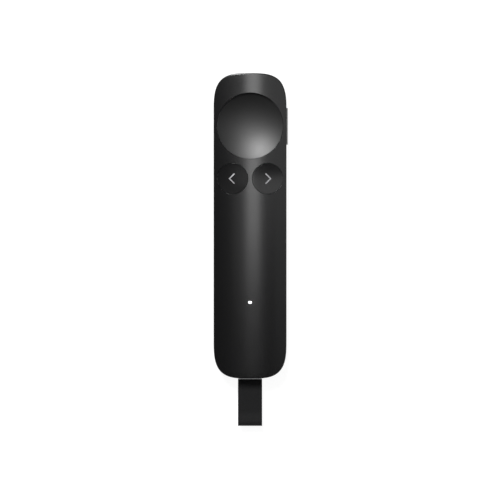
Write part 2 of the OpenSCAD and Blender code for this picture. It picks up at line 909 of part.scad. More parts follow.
module receiver_cap() color("#8d8f93") difference() {
    translate([0, 0, port_z]) {
        along_y(receiver_y0, cap_y1)
            rounded(receiver_w, receiver_h, receiver_corner_r);
        along_y(cap_y1 - lap, cap_y1 + cap_spigot)
            square([receiver_w - 2 * housing_wall - 2 * fit,
                receiver_h - 2 * housing_wall - 2 * fit], center = true);
    }
    translate([0, 0, port_z])
        along_y(receiver_y0 - lap, receiver_y0 + ribbon_root_l + fit)
            square([2 * receiver_w, ribbon_slot], center = true);
    pin_holes(pin_d + thread_fit);
}

module strap_pins() color(STEEL)
    for (s = [-1, 1])
        translate([s * pin_x, pin_y])
            rod(pin_d, port_z - receiver_h / 2 + 2 * fit, port_z + receiver_h / 2 - 2 * fit);

module strap_root() color("#131314") difference() {
    translate([0, 0, port_z])
        along_y(receiver_y0, receiver_y0 + ribbon_root_l)
            square([receiver_w - 2 * room, ribbon_t], center = true);
    pin_holes(pin_d + thread_fit);
}

// Side view of the ribbon's folded end, or of the space inside it
module fold_shape(end_r, split_r)
    hull() {
        translate([ribbon_end_y + fold_r, 0])
            circle(end_r, $fn = 32);
        translate([ribbon_split_y, 0])
            circle(split_r, $fn = 32);
    }

// Free part of the ribbon: two layers that part into a fold at the end
module pull_strap() color("#131314") translate([0, 0, port_z])
    along_x(-receiver_w / 2, receiver_w / 2)
        difference() {
            union() {
                hull()
                    for (y = [ribbon_hinge_y, ribbon_split_y])
                        translate([y, 0])
                            circle(ribbon_t / 2, $fn = 32);
                fold_shape(fold_r, ribbon_t / 2);
            }
            fold_shape(fold_r - ribbon_t / 2, fold_tip_r);
        }

module receiver_board() color(BOARD) {
    y0 = cap_y1 + cap_spigot + room;
    y1 = receiver_y1 - plug_tail - 2 * fit;
    block(0, (y0 + y1) / 2, receiver_w - 2 * housing_wall - 2 * room, y1 - y0,
        port_z - receiver_board_t / 2, port_z + receiver_board_t / 2);
}

module receiver_chip() color(CHIP)
    block(0, cap_y1 + receiver_chip_w, receiver_chip_w, receiver_chip_w,
        port_z + receiver_board_t / 2, port_z + receiver_board_t / 2 + chip_t);

module plug_shell() color(STEEL) translate([0, 0, port_z]) difference() {
    along_y(receiver_y1 - plug_tail, plug_y1)
        pill(plug_w, plug_h);
    along_y(receiver_y1 - plug_tail - lap, plug_y1 + lap)
        pill(plug_w - 2 * plug_t, plug_h - 2 * plug_t);
}

module plug_core() color(CHIP) translate([0, 0, port_z]) difference() {
    along_y(receiver_y1 - plug_tail + fit, plug_y1 - plug_t / 2)
        pill(plug_w - 2 * plug_t - fit, plug_h - 2 * plug_t - fit);
    along_y(receiver_y1, plug_y1 + lap)
        square([tongue_w + 4 * fit, tongue_t + 4 * fit], center = true);
}

// ---- One line per node ----

front_shell();
rear_shell();
mid_frame();
action_button();
back_button();
next_button();
back_chevron();
next_chevron();
side_button();
light_pipe();
led_chip();
main_board();
action_switch();
back_switch();
next_switch();
side_switch();
action_plunger();
back_plunger();
next_plunger();
side_plunger();
radio_chip();
radio_shield();
motion_sensor();
chip_antenna();
battery_cell();
battery_tape();
battery_socket();
battery_leads();
motor();
motor_pad();
motor_leads();
charge_port_shell();
charge_port_tongue();
receiver_housing();
receiver_cap();
receiver_board();
receiver_chip();
plug_shell();
plug_core();
strap_pins();
strap_root();
pull_strap();
board_screws();
frame_screws();
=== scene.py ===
"""Looks of a slim presentation clicker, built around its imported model.

X is the body's width, Y its length towards the dished key, and Z comes up out of its front.
All sizes are in metres.
"""
import math

import bmesh
import bpy
from mathutils import Matrix, Vector


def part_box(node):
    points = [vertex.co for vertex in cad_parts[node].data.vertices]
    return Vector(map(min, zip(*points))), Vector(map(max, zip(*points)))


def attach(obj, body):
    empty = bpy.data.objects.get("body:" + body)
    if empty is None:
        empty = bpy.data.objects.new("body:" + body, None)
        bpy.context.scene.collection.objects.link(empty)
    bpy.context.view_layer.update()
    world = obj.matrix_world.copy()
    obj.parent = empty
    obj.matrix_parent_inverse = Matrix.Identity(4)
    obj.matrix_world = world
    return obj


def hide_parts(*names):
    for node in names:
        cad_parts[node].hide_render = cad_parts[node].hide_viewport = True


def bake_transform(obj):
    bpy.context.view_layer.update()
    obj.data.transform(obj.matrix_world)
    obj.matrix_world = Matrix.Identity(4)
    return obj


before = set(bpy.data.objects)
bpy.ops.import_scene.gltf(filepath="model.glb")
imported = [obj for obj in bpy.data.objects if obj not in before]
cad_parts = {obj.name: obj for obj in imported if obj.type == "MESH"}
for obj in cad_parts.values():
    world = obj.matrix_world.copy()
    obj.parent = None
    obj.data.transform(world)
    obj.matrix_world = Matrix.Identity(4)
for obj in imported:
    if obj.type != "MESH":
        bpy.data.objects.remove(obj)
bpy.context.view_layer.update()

MM = 0.001

# ---- Body sizes ----
front_low, front_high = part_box("front_shell")
HALF_W = front_high.x
HALF_L = front_high.y
BODY_H = front_high.z
# The front is a shallow arc that falls by CROWN_DROP from its middle to its sides
CROWN_DROP = 1.8 * MM
CROWN_R = (HALF_W**2 + CROWN_DROP**2) / (2 * CROWN_DROP)
# Each end of the outline is half a superellipse
END_DEPTH = 17 * MM
END_POWER = 3.4
FRONT_EDGE = 0.4 * MM
REAR_EDGE = 4 * MM
WALL = 1.2 * MM
SEAM_GAP = 0.1 * MM
SEAM_TOP = front_low.z
SEAM_BOTTOM = SEAM_TOP - SEAM_GAP
SEAM_CHAMFER = 0.1 * MM
# The lip of the rear cover stands inside the front's wall
LIP_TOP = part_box("rear_shell")[1].z
LIP_GAP = 0.1 * MM
LIP_T = 0.6 * MM
LIP_REACH = 1.25 * MM
LIP_OUT = WALL + LIP_GAP
LIP_IN = LIP_OUT + LIP_T
LIP_ROOT = SEAM_TOP - LIP_REACH

# ---- Key sizes ----
KEY_GAP = 0.15 * MM
KEY_WALL = 1.1 * MM
# Rounding of the rims of the keys and their holes, and the flat band round each hole
RIM_R = 0.02 * MM
RIM_BAND = 1.6 * RIM_R
dish_low, dish_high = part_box("action_button")
DISH_R = dish_high.x
DISH_Y = (dish_low.y + dish_high.y) / 2
DISH_RIM_Z = dish_high.z
# The dish is part of a sphere; DISH_CAP is the thickness under it
DISH_DEPTH = 2.2 * MM
DISH_CAP = 1.1 * MM
DISH_CURVE = (DISH_R**2 + DISH_DEPTH**2) / (2 * DISH_DEPTH)
small_low, small_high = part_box("next_button")
FLANGE_REACH = 0.7 * MM
KEY_FROM_MIDDLE = 0.8 * MM
KEY_HOLE_R = (small_high.y - small_low.y) / 2 - FLANGE_REACH
KEY_R = KEY_HOLE_R - KEY_GAP
KEY_Y = (small_high.y + small_low.y) / 2
KEY_X = KEY_HOLE_R + KEY_FROM_MIDDLE
# A small key's rim lies KEY_FLUSH under the front, and its middle KEY_DEPTH deeper
KEY_DEPTH = 0.2 * MM
KEY_FLUSH = 0.05 * MM
KEY_ROOF = 1 * MM
MARK_STROKE = 0.5 * MM
MARK_SLOPE = math.radians(45)
MARK_T = 0.4 * MM
MARK_PROUD = 0.02 * MM
MARK_ROUNDING = 0.05 * MM
side_low, side_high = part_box("side_button")
SIDE_FLANGE = 1.2 * MM
SIDE_FLANGE_T = 0.8 * MM
SIDE_INSET = 0.2 * MM
SIDE_CORNER = 0.9 * MM
SIDE_ROUNDING = 0.2 * MM
SLOT_CORNER = 1 * MM
KEYS_ABOVE_SIDE = 0.5 * MM
KEY_BASE_Z = side_high.z + KEYS_ABOVE_SIDE

# ---- Light window sizes ----
light_low, light_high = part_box("light_pipe")
LIGHT_FLANGE = 0.8 * MM
LIGHT_GAP = 0.05 * MM
LIGHT_CORNER = 0.54 * MM
LIGHT_HOLE_CORNER = LIGHT_CORNER + LIGHT_GAP
LIGHT_ROUNDING = 0.12 * MM
GLOW_REACH = 0.9 * MM

# ---- Receiver sizes ----
cap_low, cap_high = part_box("receiver_cap")
MID_Z = (cap_low.z + cap_high.z) / 2
CAP_ROUNDING = 0.45 * MM
# The bay is cut from BAY_PAST outside the body's end to BAY_DEPTH inside it
BAY_GAP = 0.1 * MM
BAY_DEPTH = 2.5 * MM
BAY_PAST = 1 * MM
BAY_CORNER = 0.3 * MM
CASE_ROUNDING = 0.1 * MM
PLUG_ROUNDING = 0.05 * MM

# ---- Ribbon sizes ----
strap_low, strap_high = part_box("pull_strap")
ROOT_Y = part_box("strap_root")[1].y
CLOTH_T = 0.5 * MM
CLOTH_END_GAP = 0.1 * MM
# Both halves lie LAYER_Z off the middle, and part over OPEN_LENGTH towards the fold
LAYER_Z = 0.3 * MM
OPEN_LENGTH = 6 * MM
FOLD_R = (strap_high.z - strap_low.z) / 2 - CLOTH_T / 2
SPLIT_Y = strap_low.y + OPEN_LENGTH
HALF_CLOTH_W = (strap_high.x - strap_low.x) / 2
BORDER_W = 0.9 * MM
BORDER_PLAIN = 0.6 * MM
RIB_PITCH = 0.5 * MM
WEFT_PITCH = 0.3 * MM
# Scale at which a wave texture has one band per metre
BANDS_PER_METRE = math.pi / 10

# ---- Floor and camera sizes ----
FLOOR_SIZE = 4
FLOOR_DROP = 0.1 * MM
LENS = 0.2
SENSOR = 0.036
VIEW_SIZE = 212.64 * MM
VIEW_X, VIEW_Y = -0.02 * MM, -10.27 * MM
CLIP_START = 0.01

# ---- Counts of steps and rings ----
END_STEPS = 64
SIDE_STEPS = 24
EDGE_STEPS = 6
RIM_STEPS = 3
ROUND_STEPS = 128
DISH_RINGS = 28
DISH_UNDER_RINGS = 8
KEY_RINGS = 18
HELD_STEPS = 30
OPENING_STEPS = 12
FOLD_STEPS = 16
CLOTH_COLUMNS = 20
CORNER_STEPS = 6
PILL_STEPS = 8
SOFT_STEPS = 3
FINE_STEPS = 2

# ---- Grids of the filled faces, angles in degrees, and tolerances ----
FACE_GRID = (0.6 * MM, 2.5 * MM)
UNDER_GRID = (2.4 * MM, 8 * MM)
FLAT_ANGLE = 1
CRISP_ANGLE = 30
SHARP_ANGLE = 35
NODE_SHARP_ANGLE = 40
CLOTH_SHARP_ANGLE = 60
# TINY tells new vertices apart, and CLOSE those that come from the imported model
TINY = 1e-7
CLOSE = 1e-6


# ---- Mesh helpers ----

def crown_z(x):
    """Height of the crowned front over a place across the body."""
    return BODY_H - CROWN_R + math.sqrt(CROWN_R**2 - x * x)


def outline(inset):
    """Outline of the body, moved in by an inset: two rounded ends and two straight sides."""
    half_w, depth = HALF_W - inset, END_DEPTH - inset
    straight = HALF_L - END_DEPTH
    points = []
    for end in (1, -1):
        for k in range(END_STEPS + 1):
            turn = math.pi * k / END_STEPS
            c, s = math.cos(turn), math.sin(turn)
            reach = (abs(c / half_w) ** END_POWER + abs(s / depth) ** END_POWER) ** (-1 / END_POWER)
            points.append((end * reach * c, end * (straight + reach * s)))
        for k in range(1, SIDE_STEPS):
            points.append((-end * half_w, end * straight * (1 - 2 * k / SIDE_STEPS)))
    return points


def flat_ring(inset, z):
    return [Vector((x, y, z)) for x, y in outline(inset)]


def crown_ring(inset, drop):
    return [Vector((x, y, crown_z(x) - drop)) for x, y in outline(inset)]


def hole_ring(x, y, radius, height):
    """Round ring about a place on the front; height(x) gives its height."""
    places = []
    for k in range(ROUND_STEPS):
        turn = 2 * math.pi * k / ROUND_STEPS
        px, py = x + radius * math.cos(turn), y + radius * math.sin(turn)
        places.append(Vector((px, py, height(px))))
    return places


def quarter_turn(steps):
    """Sine and cosine after each step of a quarter turn."""
    turns = [math.pi / 2 * k / steps for k in range(1, steps + 1)]
    return [(math.sin(turn), math.cos(turn)) for turn in turns]


def unique(parts):
    """Each part once, in the order they come, so that every run makes the same mesh."""
    return list(dict.fromkeys(parts))


def new_verts(made):
    return [part for part in made["geom"] if isinstance(part, bmesh.types.BMVert)]


def new_faces(made):
    return [part for part in made["geom"] if isinstance(part, bmesh.types.BMFace)]


def start_ring(bm, places):
    """Closed ring of vertices at the given places."""
    ring = bmesh.ops.create_circle(bm, cap_ends=False, radius=1, segments=len(places))["verts"]
    for vert, place in zip(ring, places):
        vert.co = place
    return ring


def ring_edges(bm, ring):
    return [bm.edges.get(pair) for pair in zip(ring, ring[1:] + ring[:1])]


def next_ring(bm, ring, places):
    """Extrudes a ring of vertices to new places, and returns the new ring in the same order."""
    fresh = set(new_verts(bmesh.ops.extrude_edge_only(bm, edges=ring_edges(bm, ring))))
    following = []
    for vert, place in zip(ring, places):
        twin = next(e.other_vert(vert) for e in vert.link_edges if e.other_vert(vert) in fresh)
        twin.co = place
        following.append(twin)
    return following


def extend_ring(bm, ring, rows):
    """Extrudes a ring along rows of places, and returns the last ring."""
    for places in rows:
        ring = next_ring(bm, ring, places)
    return ring


def cut_lines(low, high, step):
    """Evenly spaced places between two limits, symmetrical about their middle."""
    count = max(1, round((high - low) / step))
    return [low + (high - low) * k / count for k in range(1, count)]


def slanted_edges(faces):
    """Edges inside a group of faces that run along neither axis."""
    inside = set(faces)
    slanted = []
    for edge in unique(e for f in faces for e in f.edges):
        run = edge.verts[0].co - edge.verts[1].co
        crossed = abs(run.x) > TINY and abs(run.y) > TINY
        if crossed and len(edge.link_faces) == 2 and all(f in inside for f in edge.link_faces):
            slanted.append(edge)
    return slanted


def fill_crowned(bm, rings, grid, height):
    """Fills the space between rings with a sheet that follows height(x) along a grid."""
    edges = [e for ring in rings for e in ring_edges(bm, ring)]
    faces = new_faces(bmesh.ops.triangle_fill(bm, use_beauty=True, use_dissolve=False, edges=edges))
    for axis, step in enumerate(grid):
        reach = [v.co[axis] for v in rings[0]]
        normal = Vector((1 - axis, axis, 0))
        for place in cut_lines(min(reach), max(reach), step):
            parts = [part for f in faces for part in (*f.verts, *f.edges)]
            faces = new_faces(bmesh.ops.bisect_plane(
                bm, geom=unique(parts) + faces, dist=TINY,
                plane_co=normal * place, plane_no=normal))
    slanted = slanted_edges(faces)
    for vert in unique(v for f in faces for v in f.verts):
        vert.co.z = height(vert.co.x)
    bmesh.ops.dissolve_edges(bm, edges=slanted, use_verts=True, use_face_split=False)


def spin_profile(bm, profile, centre):
    """Full turn of a profile of (radius, height) pairs about an upright axis."""
    verts = [bm.verts.new(centre + Vector((r, 0, z))) for r, z in profile]
    edges = [bm.edges.new(pair) for pair in zip(verts, verts[1:])]
    bmesh.ops.spin(
        bm, geom=verts + edges, cent=centre, axis=(0, 0, 1), dvec=(0, 0, 0), angle=2 * math.pi,
        steps=ROUND_STEPS, use_merge=True, use_normal_flip=False, use_duplicate=False)
    bmesh.ops.remove_doubles(bm, verts=bm.verts, dist=TINY)


def add_block(bm, low, high):
    """Closed block between two corners; returns its vertices."""
    low, high = Vector(low), Vector(high)
    size, middle = high - low, (low + high) / 2
    matrix = Matrix.Translation(middle) @ Matrix.Diagonal((size.x, size.y, size.z, 1))
    return bmesh.ops.create_cube(bm, size=1, matrix=matrix)["verts"]


def edges_along(verts, axis):
    """Edges between the given vertices that run along an axis."""
    chosen = []
    for edge in unique(e for v in verts for e in v.link_edges):
        run = edge.verts[0].co - edge.verts[1].co
        if all(abs(run[k]) < TINY for k in range(3) if k != axis):
            chosen.append(edge)
    return chosen


def face_rim(bm, axis):
    """Edges of the face that lies furthest out along an axis."""
    return list(max(bm.faces, key=lambda f: f.calc_center_median()[axis]).edges)


def round_edges(bm, edges, radius, segments):
    bmesh.ops.bevel(
        bm, geom=edges, offset=radius, offset_type="OFFSET", affect="EDGES", segments=segments,
        profile=0.5, material=-1, clamp_overlap=True)


def finish_mesh(bm, name, sharp=SHARP_ANGLE):
    """Makes an object of the mesh, smooth except at edges sharper than the given angle."""
    bmesh.ops.recalc_face_normals(bm, faces=bm.faces)
    mesh = bpy.data.meshes.new(name)
    bm.to_mesh(mesh)
    bm.free()
    for polygon in mesh.polygons:
        polygon.use_smooth = True
    mesh.set_sharp_from_angle(angle=math.radians(sharp))
    piece = bpy.data.objects.new(name, mesh)
    bpy.context.scene.collection.objects.link(piece)
    return piece


def weigh_normals(piece):
    """Lets the large faces of a piece set its shading."""
    weighted = piece.modifiers.new("flat_faces", "WEIGHTED_NORMAL")
    weighted.mode = "FACE_AREA_WITH_ANGLE"
    weighted.keep_sharp = True
    return piece


def cut_away(piece, cutters):
    """Takes the cutters out of the piece and bakes the result into its mesh."""
    for cutter in cutters:
        hollow = piece.modifiers.new("hollow", "BOOLEAN")
        hollow.operation = "DIFFERENCE"
        hollow.solver = "EXACT"
        hollow.object = cutter
    bpy.context.view_layer.update()
    evaluated = piece.evaluated_get(bpy.context.evaluated_depsgraph_get())
    mesh = bpy.data.meshes.new_from_object(evaluated)
    piece.modifiers.clear()
    old = piece.data
    piece.data = mesh
    mesh.name = piece.name
    bpy.data.meshes.remove(old)
    mesh.set_sharp_from_angle(angle=math.radians(SHARP_ANGLE))
    for cutter in cutters:
        bpy.data.objects.remove(cutter)
    return piece


def rounded_block(name, low, high, radius, axis, segments=CORNER_STEPS):
    """Object: a block whose edges along one axis are rounded."""
    bm = bmesh.new()
    verts = add_block(bm, low, high)
    round_edges(bm, edges_along(verts, axis), radius, segments)
    return finish_mesh(bm, name)


def merged_node(node):
    """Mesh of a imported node, with its flat faces made whole."""
    bm = bmesh.new()
    bm.from_mesh(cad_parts[node].data)
    bmesh.ops.remove_doubles(bm, verts=bm.verts, dist=CLOSE)
    bmesh.ops.dissolve_limit(
        bm, angle_limit=math.radians(FLAT_ANGLE), use_dissolve_boundaries=False,
        verts=bm.verts, edges=bm.edges, delimit=set())
    return bm


def refined(node, name, rounding):
    """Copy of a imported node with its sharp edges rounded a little."""
    bm = merged_node(node)
    crisp = [e for e in bm.edges
             if len(e.link_faces) == 2 and e.calc_face_angle(0) > math.radians(CRISP_ANGLE)]
    round_edges(bm, crisp, rounding, FINE_STEPS)
    return weigh_normals(finish_mesh(bm, name, NODE_SHARP_ANGLE))


# ---- Materials ----

# Sockets of a Mix node by number, since their labels repeat: a factor, values and tones
MIX_FACTOR, MIX_A, MIX_B, MIX_TONE_A, MIX_TONE_B = 0, 2, 3, 6, 7
MIX_VALUE_OUT, MIX_TONE_OUT = 0, 2

# Noise scales, in cycles per metre
TONE_SCALE = 60
GLOSS_SCALE = 900
BRUSH_SCALE = 6000.0


def new_material(name):
    material = bpy.data.materials.new(name)
    material.use_nodes = True
    return material, material.node_tree, material.node_tree.nodes["Principled BSDF"]


def add_node(tree, kind, **values):
    """Adds a node and sets its inputs by name, with _ for each space."""
    node = tree.nodes.new(kind)
    for key, value in values.items():
        label = key.replace("_", " ")
        if label in node.inputs:
            node.inputs[label].default_value = value
        else:
            setattr(node, key, value)
    return node


def link(tree, source, output, target, label):
    tree.links.new(source.outputs[output], target.inputs[label])


def math_node(tree, operation, *sources):
    """Maths on the given (node, output) pairs."""
    node = add_node(tree, "ShaderNodeMath", operation=operation)
    for k, (source, output) in enumerate(sources):
        link(tree, source, output, node, k)
    return node


def noise(tree, place, scale, detail):
    node = add_node(tree, "ShaderNodeTexNoise", Scale=scale, Detail=detail, Roughness=0.5)
    link(tree, place, "Object", node, "Vector")
    return node


def spread(tree, source, output, low, high):
    """Maps a texture's 0 to 1 onto a range."""
    node = add_node(tree, "ShaderNodeMapRange", To_Min=low, To_Max=high)
    link(tree, source, output, node, "Value")
    return node


def tinted(tree, source, output, dark, light):
    """Colour that a texture moves between two tones."""
    node = add_node(tree, "ShaderNodeMix", data_type="RGBA")
    node.inputs[MIX_TONE_A].default_value = (*dark, 1)
    node.inputs[MIX_TONE_B].default_value = (*light, 1)
    link(tree, source, output, node, MIX_FACTOR)
    return node


def raise_bumps(tree, shader, source, output, strength, depth):
    """Lets a texture raise the surface of a shader."""
    bump = add_node(tree, "ShaderNodeBump", Strength=strength, Distance=depth)
    link(tree, source, output, bump, "Height")
    link(tree, bump, "Normal", shader, "Normal")


def moulded(name, tone, roughness, grain=0.1 * MM, grain_depth=0.004 * MM, variation=0.12):
    """Moulded plastic: a fine spark-eroded grain, and slow changes in tone and gloss."""
    material, tree, shader = new_material(name)
    place = tree.nodes.new("ShaderNodeTexCoord")
    shader.inputs["IOR"].default_value = 1.52
    slow = noise(tree, place, TONE_SCALE, detail=3)
    dark = [c * (1 - variation) for c in tone]
    light = [c * (1 + variation) for c in tone]
    colour = tinted(tree, slow, "Fac", dark, light)
    link(tree, colour, MIX_TONE_OUT, shader, "Base Color")
    patch = noise(tree, place, GLOSS_SCALE, detail=3)
    gloss = spread(tree, patch, "Fac", roughness * 0.94, roughness * 1.06)
    link(tree, gloss, "Result", shader, "Roughness")
    fine = noise(tree, place, 1 / grain, detail=2)
    raise_bumps(tree, shader, fine, "Fac", 0.5, grain_depth)
    return material


def metal(name, tone, roughness, brushed=(1, 1, 1)):
    """Metal with a fine brushed or tumbled finish."""
    material, tree, shader = new_material(name)
    shader.inputs["Metallic"].default_value = 1
    place = tree.nodes.new("ShaderNodeTexCoord")
    stretch = add_node(tree, "ShaderNodeMapping", Scale=brushed)
    link(tree, place, "Object", stretch, "Vector")
    lines = add_node(tree, "ShaderNodeTexNoise", Scale=BRUSH_SCALE, Detail=3.0)
    link(tree, stretch, "Vector", lines, "Vector")
    colour = tinted(tree, lines, "Fac", [c * 0.9 for c in tone], tone)
    link(tree, colour, MIX_TONE_OUT, shader, "Base Color")
    gloss = spread(tree, lines, "Fac", roughness * 0.85, roughness * 1.15)
    link(tree, gloss, "Result", shader, "Roughness")
    raise_bumps(tree, shader, lines, "Fac", 0.4, 0.002 * MM)
    return material


def lit_lens():
    """Clear white window, lit from behind and brightest in its middle."""
    material, tree, shader = new_material("lit_window")
    shader.inputs["Base Color"].default_value = (0.9, 0.92, 0.95, 1)
    shader.inputs["Roughness"].default_value = 0.25
    place = tree.nodes.new("ShaderNodeTexCoord")
    middle = (light_low + light_high) / 2
    centred = add_node(tree, "ShaderNodeMapping", Location=(-middle.x, -middle.y, -light_high.z))
    link(tree, place, "Object", centred, "Vector")
    reach = add_node(tree, "ShaderNodeVectorMath", operation="LENGTH")
    link(tree, centred, "Vector", reach, 0)
    glow = add_node(tree, "ShaderNodeMapRange", From_Max=GLOW_REACH, To_Min=1.0, To_Max=0.8)
    link(tree, reach, "Value", glow, "Value")
    shader.inputs["Emission Color"].default_value = (1, 1, 1, 1)
    link(tree, glow, "Result", shader, "Emission Strength")
    return material


def thread_bands(tree, place, scale, direction):
    """Bands of thread across the cloth's own UV map, which is in metres."""
    bands = add_node(tree, "ShaderNodeTexWave", Scale=scale, Distortion=0.0,
                     wave_type="BANDS", bands_direction=direction)
    link(tree, place, "UV", bands, "Vector")
    return bands


def woven_ribbon():
    """Fine twill ribbon: a diagonal rib, and a plain border along both edges."""
    material, tree, shader = new_material("woven_ribbon")
    shader.inputs["Roughness"].default_value = 0.7
    shader.inputs["Specular IOR Level"].default_value = 0.12
    shader.inputs["Sheen Weight"].default_value = 1.0
    shader.inputs["Sheen Roughness"].default_value = 0.3
    place = tree.nodes.new("ShaderNodeTexCoord")
    rib = thread_bands(tree, place, 2 * BANDS_PER_METRE / RIB_PITCH, "DIAGONAL")
    weft = thread_bands(tree, place, BANDS_PER_METRE / WEFT_PITCH, "Y")
    weave = math_node(tree, "MULTIPLY", (rib, "Fac"), (weft, "Fac"))
    body_tone = tinted(tree, weave, "Value", (0.0037, 0.0037, 0.004), (0.0155, 0.0155, 0.0164))

    parts = tree.nodes.new("ShaderNodeSeparateXYZ")
    link(tree, place, "UV", parts, "Vector")
    side = math_node(tree, "ABSOLUTE", (parts, "X"))
    border = add_node(tree, "ShaderNodeMapRange",
                      From_Min=HALF_CLOTH_W - BORDER_W, From_Max=HALF_CLOTH_W - BORDER_PLAIN)
    link(tree, side, "Value", border, "Value")
    edge_tone = add_node(tree, "ShaderNodeMix", data_type="RGBA")
    edge_tone.inputs[MIX_TONE_B].default_value = (0.005, 0.005, 0.0055, 1)
    link(tree, border, "Result", edge_tone, MIX_FACTOR)
    link(tree, body_tone, MIX_TONE_OUT, edge_tone, MIX_TONE_A)
    link(tree, edge_tone, MIX_TONE_OUT, shader, "Base Color")
    raise_bumps(tree, shader, weave, "Value", 0.7, 0.05 * MM)
    return material


def printed_board():
    """Solder mask over faint copper: a fine grid of tracks shows in tone and height."""
    material, tree, shader = new_material("solder_mask")
    shader.inputs["Roughness"].default_value = 0.5
    place = tree.nodes.new("ShaderNodeTexCoord")
    tracks = add_node(tree, "ShaderNodeTexBrick", Scale=220.0, Mortar_Size=0.06)
    tracks.inputs["Color1"].default_value = (0.004, 0.028, 0.015, 1)
    tracks.inputs["Color2"].default_value = (0.005, 0.033, 0.017, 1)
    tracks.inputs["Mortar"].default_value = (0.01, 0.057, 0.03, 1)
    link(tree, place, "Object", tracks, "Vector")
    link(tree, tracks, "Color", shader, "Base Color")
    raise_bumps(tree, shader, tracks, "Fac", 0.3, 0.03 * MM)
    return material


# ---- Shells ----

def round_hole(bm, x, y, radius):
    """Round hole in the front, with a small rounding at its rim; returns its end rings."""
    def crown_circle(out, drop):
        return hole_ring(x, y, radius + out, lambda px: crown_z(px) - drop)

    outer = start_ring(bm, crown_circle(RIM_BAND, 0))
    rows = [crown_circle(RIM_R, 0)]
    rows += [crown_circle(RIM_R * (1 - s), RIM_R * (1 - c)) for s, c in quarter_turn(RIM_STEPS)]
    return outer, extend_ring(bm, outer, rows + [crown_circle(0, WALL)])


def front_shell():
    """Crowned front with a rounded edge, three round holes, and an inner face one wall below."""
    bm = bmesh.new()
    outer_top = start_ring(bm, crown_ring(FRONT_EDGE + RIM_R, 0))
    rows = [crown_ring(FRONT_EDGE, 0)]
    rows += [crown_ring(FRONT_EDGE * (1 - s), FRONT_EDGE * (1 - c))
             for s, c in quarter_turn(EDGE_STEPS)]
    rows += [flat_ring(0, SEAM_TOP + SEAM_CHAMFER), flat_ring(SEAM_CHAMFER, SEAM_TOP),
             flat_ring(WALL, SEAM_TOP), crown_ring(WALL, WALL)]
    inner_top = extend_ring(bm, outer_top, rows)
    holes = [round_hole(bm, 0, DISH_Y, DISH_R + KEY_GAP)]
    holes += [round_hole(bm, side * KEY_X, KEY_Y, KEY_HOLE_R) for side in (-1, 1)]
    fill_crowned(bm, [outer_top] + [hole[0] for hole in holes], FACE_GRID, crown_z)
    fill_crowned(
        bm, [inner_top] + [hole[1] for hole in holes], UNDER_GRID, lambda x: crown_z(x) - WALL)
    return finish_mesh(bm, "front_cover")


def rear_shell():
    """Tray with one rounding all round its base, and the lip that goes up inside the front."""
    bm = bmesh.new()
    base = start_ring(bm, flat_ring(REAR_EDGE + SEAM_CHAMFER, 0))
    rows = [flat_ring(REAR_EDGE, 0)]
    rows += [flat_ring(REAR_EDGE * (1 - s), REAR_EDGE * (1 - c))
             for s, c in quarter_turn(2 * EDGE_STEPS)]
    rows += [flat_ring(0, SEAM_BOTTOM - SEAM_CHAMFER), flat_ring(SEAM_CHAMFER, SEAM_BOTTOM),
             flat_ring(LIP_OUT, SEAM_BOTTOM), flat_ring(LIP_OUT, LIP_TOP - SEAM_CHAMFER),
             flat_ring(LIP_OUT + SEAM_CHAMFER, LIP_TOP), flat_ring(LIP_IN, LIP_TOP),
             flat_ring(LIP_IN, LIP_ROOT), flat_ring(WALL, LIP_ROOT)]
    inner_edge = REAR_EDGE - WALL
    rows += [flat_ring(WALL + inner_edge * (1 - c), WALL + inner_edge * (1 - s))
             for s, c in quarter_turn(EDGE_STEPS)]
    floor_ring = extend_ring(bm, base, rows)
    bmesh.ops.contextual_create(bm, geom=ring_edges(bm, base))
    bmesh.ops.contextual_create(bm, geom=ring_edges(bm, floor_ring))
    return finish_mesh(bm, "rear_cover")


def bay_cutter(name):
    """Block that opens the end of the body for the receiver."""
    low = (cap_low.x - BAY_GAP, -HALF_L - BAY_PAST, cap_low.z - BAY_GAP)
    high = (cap_high.x + BAY_GAP, -HALF_L + BAY_DEPTH, cap_high.z + BAY_GAP)
    return rounded_block(name, low, high, BAY_CORNER, axis=1)


def side_slot_cutter():
    """Block that opens the side wall for the side key."""
    reach = SIDE_FLANGE - KEY_GAP
    low = (HALF_W - 2 * WALL, side_low.y + reach, side_low.z - KEY_GAP)
    high = (HALF_W + WALL, side_high.y - reach, side_high.z + KEY_GAP)
    return rounded_block("slot_cutter", low, high, SLOT_CORNER, axis=0)


def light_cutter():
    """Block that opens the front for the light window."""
    reach = LIGHT_FLANGE - LIGHT_GAP
    low = (light_low.x + reach, light_low.y + reach, BODY_H - 2 * WALL)
    high = (light_high.x - reach, light_high.y - reach, BODY_H + WALL)
    return rounded_block("light_cutter", low, high, LIGHT_HOLE_CORNER, axis=2, segments=PILL_STEPS)


# ---- Keys ----

def top_radii(top_r, steps):
    """Radii of the rings of a key's top, with one more close to its rim."""
    even = [top_r * k / steps for k in range(steps)]
    return even + [top_r - RIM_R, top_r]


def rim_profile(top_r, top_z):
    """Rounding from the top of a key into its side."""
    return [(top_r + RIM_R * s, top_z - RIM_R * (1 - c)) for s, c in quarter_turn(RIM_STEPS)]


def dish_z(radius):
    """Height of the spherical dish over a distance from its middle."""
    return DISH_RIM_Z - DISH_DEPTH + DISH_CURVE - math.sqrt(DISH_CURVE**2 - radius**2)


def dished_key():
    """Large round cap with a spherical dish, and its skirt."""
    bm = bmesh.new()
    top_r = DISH_R - RIM_R
    under_r = DISH_R - KEY_WALL
    profile = [(r, dish_z(r)) for r in top_radii(top_r, DISH_RINGS)]
    profile += rim_profile(top_r, dish_z(top_r))
    profile += [(DISH_R, KEY_BASE_Z), (under_r, KEY_BASE_Z)]
    under = [under_r * k / DISH_UNDER_RINGS for k in range(DISH_UNDER_RINGS, -1, -1)]
    profile += [(r, dish_z(r) - DISH_CAP) for r in under]
    spin_profile(bm, profile, Vector((0, DISH_Y, 0)))
    return weigh_normals(finish_mesh(bm, "dished_key"))


